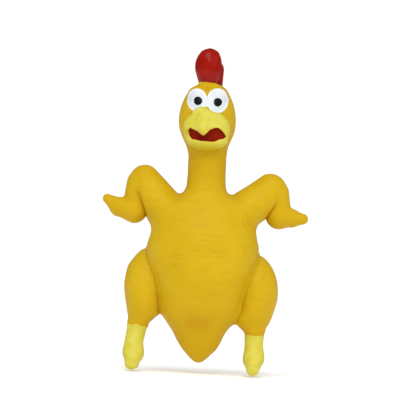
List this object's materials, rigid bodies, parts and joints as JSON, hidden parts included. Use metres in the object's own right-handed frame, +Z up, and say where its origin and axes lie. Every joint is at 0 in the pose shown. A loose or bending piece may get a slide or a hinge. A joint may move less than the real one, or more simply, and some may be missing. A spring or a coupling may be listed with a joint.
{
  "type": "rubber chicken",
  "caption": "Squeaky plucked rubber chicken toy: soft hollow latex skin with bending neck, wings, legs and comb, fibre filling and a squeaker in its back.",
  "frame": {"origin": "on the floor, under the middle of the bounding box", "axes": "+Z up, -Y the way the chicken looks, -X towards the wing on the left of a front view"},
  "size_m": [0.1648, 0.0733, 0.2616],
  "materials": {
    "latex_yellow": "satin",
    "paint_pale_yellow": "satin",
    "paint_red": "gloss",
    "paint_dark_red": "satin",
    "paint_white": "satin",
    "paint_black": "gloss",
    "squeaker_plastic": "matte",
    "reed_plastic": "matte",
    "fibre": "matte"
  },
  "bodies": {
    "torso": {"torso_skin": "latex_yellow", "torso_filling": "fibre", "squeaker_cup": "squeaker_plastic", "squeaker_lid": "squeaker_plastic", "reed_block": "squeaker_plastic", "squeaker_reed": "reed_plastic", "hip_fold_left": "latex_yellow", "hip_fold_right": "latex_yellow", "neck_root_fold": "latex_yellow"},
    "belly": {"belly_skin": "latex_yellow"},
    "neck_lower": {"neck_lower_skin": "latex_yellow", "neck_lower_filling": "fibre", "neck_mid_fold": "latex_yellow"},
    "neck_upper": {"neck_upper_skin": "latex_yellow", "neck_upper_filling": "fibre", "neck_top_fold": "latex_yellow"},
    "head": {"head_skin": "latex_yellow", "head_filling": "fibre", "beak_upper": "paint_pale_yellow", "beak_lower": "paint_pale_yellow", "mouth_lining": "paint_dark_red", "eye_white_left": "paint_white", "eye_white_right": "paint_white", "pupil_left": "paint_black", "pupil_right": "paint_black", "comb_fold": "paint_red"},
    "comb": {"comb": "paint_red"},
    "upper_wing_left": {"upper_wing_left": "latex_yellow"},
    "fore_wing_left": {"fore_wing_left": "latex_yellow"},
    "wing_tip_left": {"wing_tip_left": "latex_yellow"},
    "thigh_left": {"thigh_skin_left": "latex_yellow", "thigh_filling_left": "fibre", "ankle_fold_left": "latex_yellow"},
    "foot_left": {"foot_left": "paint_pale_yellow"},
    "upper_wing_right": {"upper_wing_right": "latex_yellow"},
    "fore_wing_right": {"fore_wing_right": "latex_yellow"},
    "wing_tip_right": {"wing_tip_right": "latex_yellow"},
    "thigh_right": {"thigh_skin_right": "latex_yellow", "thigh_filling_right": "fibre", "ankle_fold_right": "latex_yellow"},
    "foot_right": {"foot_right": "paint_pale_yellow"}
  },
  "joints": [
    {"name": "belly_press", "type": "slide", "parent": "torso", "child": "belly", "axis": [0, 1, 0], "range_m": [0, 0.012], "stiffness_N_per_m": 150, "deforming": ["torso_filling"]},
    {"name": "neck_nod", "type": "hinge", "parent": "torso", "child": "neck_lower", "pos_m": [0, 0, 0.146], "axis": [1, 0, 0], "range_deg": [-25, 25], "stiffness_Nm_per_rad": 0.25, "deforming": ["neck_root_fold"]},
    {"name": "neck_sway", "type": "hinge", "parent": "neck_lower", "child": "neck_upper", "pos_m": [0, 0, 0.167], "axis": [0, 1, 0], "range_deg": [-20, 20], "stiffness_Nm_per_rad": 0.25, "deforming": ["neck_mid_fold"]},
    {"name": "head_nod", "type": "hinge", "parent": "neck_upper", "child": "head", "pos_m": [0, 0, 0.184], "axis": [1, 0, 0], "range_deg": [-15, 15], "stiffness_Nm_per_rad": 0.2, "deforming": ["neck_top_fold"]},
    {"name": "comb_flop", "type": "hinge", "parent": "head", "child": "comb", "pos_m": [-0.002, 0.005, 0.231], "axis": [0, 0.9563, -0.2924], "range_deg": [-20, 20], "stiffness_Nm_per_rad": 0.03, "deforming": ["comb_fold"]},
    {"name": "wing_flap_left", "type": "hinge", "parent": "torso", "child": "upper_wing_left", "pos_m": [-0.0298, 0.003, 0.1338], "axis": [0, 1, 0], "range_deg": [-4, 26], "stiffness_Nm_per_rad": 0.1},
    {"name": "wing_elbow_left", "type": "hinge", "parent": "upper_wing_left", "child": "fore_wing_left", "pos_m": [-0.0495, 0.003, 0.1534], "axis": [0, 1, 0], "range_deg": [0, 50], "stiffness_Nm_per_rad": 0.05},
    {"name": "wing_wrist_left", "type": "hinge", "parent": "fore_wing_left", "child": "wing_tip_left", "pos_m": [-0.0566, 0.003, 0.1284], "axis": [0, 1, 0], "range_deg": [-40, 0], "stiffness_Nm_per_rad": 0.01},
    {"name": "hip_left", "type": "hinge", "parent": "torso", "child": "thigh_left", "pos_m": [-0.04, 0.004, 0.072], "axis": [1, 0, 0], "range_deg": [-25, 25], "stiffness_Nm_per_rad": 0.4, "deforming": ["hip_fold_left"]},
    {"name": "ankle_left", "type": "hinge", "parent": "thigh_left", "child": "foot_left", "pos_m": [-0.0498, 0, 0.037], "axis": [1, 0, 0], "range_deg": [-25, 25], "stiffness_Nm_per_rad": 0.3, "deforming": ["ankle_fold_left"]},
    {"name": "wing_flap_right", "type": "hinge", "parent": "torso", "child": "upper_wing_right", "pos_m": [0.028, 0.003, 0.1346], "axis": [0, 1, 0], "range_deg": [-26, 4], "stiffness_Nm_per_rad": 0.1},
    {"name": "wing_elbow_right", "type": "hinge", "parent": "upper_wing_right", "child": "fore_wing_right", "pos_m": [0.0514, 0.003, 0.1504], "axis": [0, 1, 0], "range_deg": [-50, 0], "stiffness_Nm_per_rad": 0.05},
    {"name": "wing_wrist_right", "type": "hinge", "parent": "fore_wing_right", "child": "wing_tip_right", "pos_m": [0.0592, 0.003, 0.1294], "axis": [0, 1, 0], "range_deg": [0, 40], "stiffness_Nm_per_rad": 0.01},
    {"name": "hip_right", "type": "hinge", "parent": "torso", "child": "thigh_right", "pos_m": [0.04, 0.004, 0.072], "axis": [1, 0, 0], "range_deg": [-25, 25], "stiffness_Nm_per_rad": 0.4, "deforming": ["hip_fold_right"]},
    {"name": "ankle_right", "type": "hinge", "parent": "thigh_right", "child": "foot_right", "pos_m": [0.0445, 0, 0.037], "axis": [1, 0, 0], "range_deg": [-25, 25], "stiffness_Nm_per_rad": 0.3, "deforming": ["ankle_fold_right"]}
  ]
}
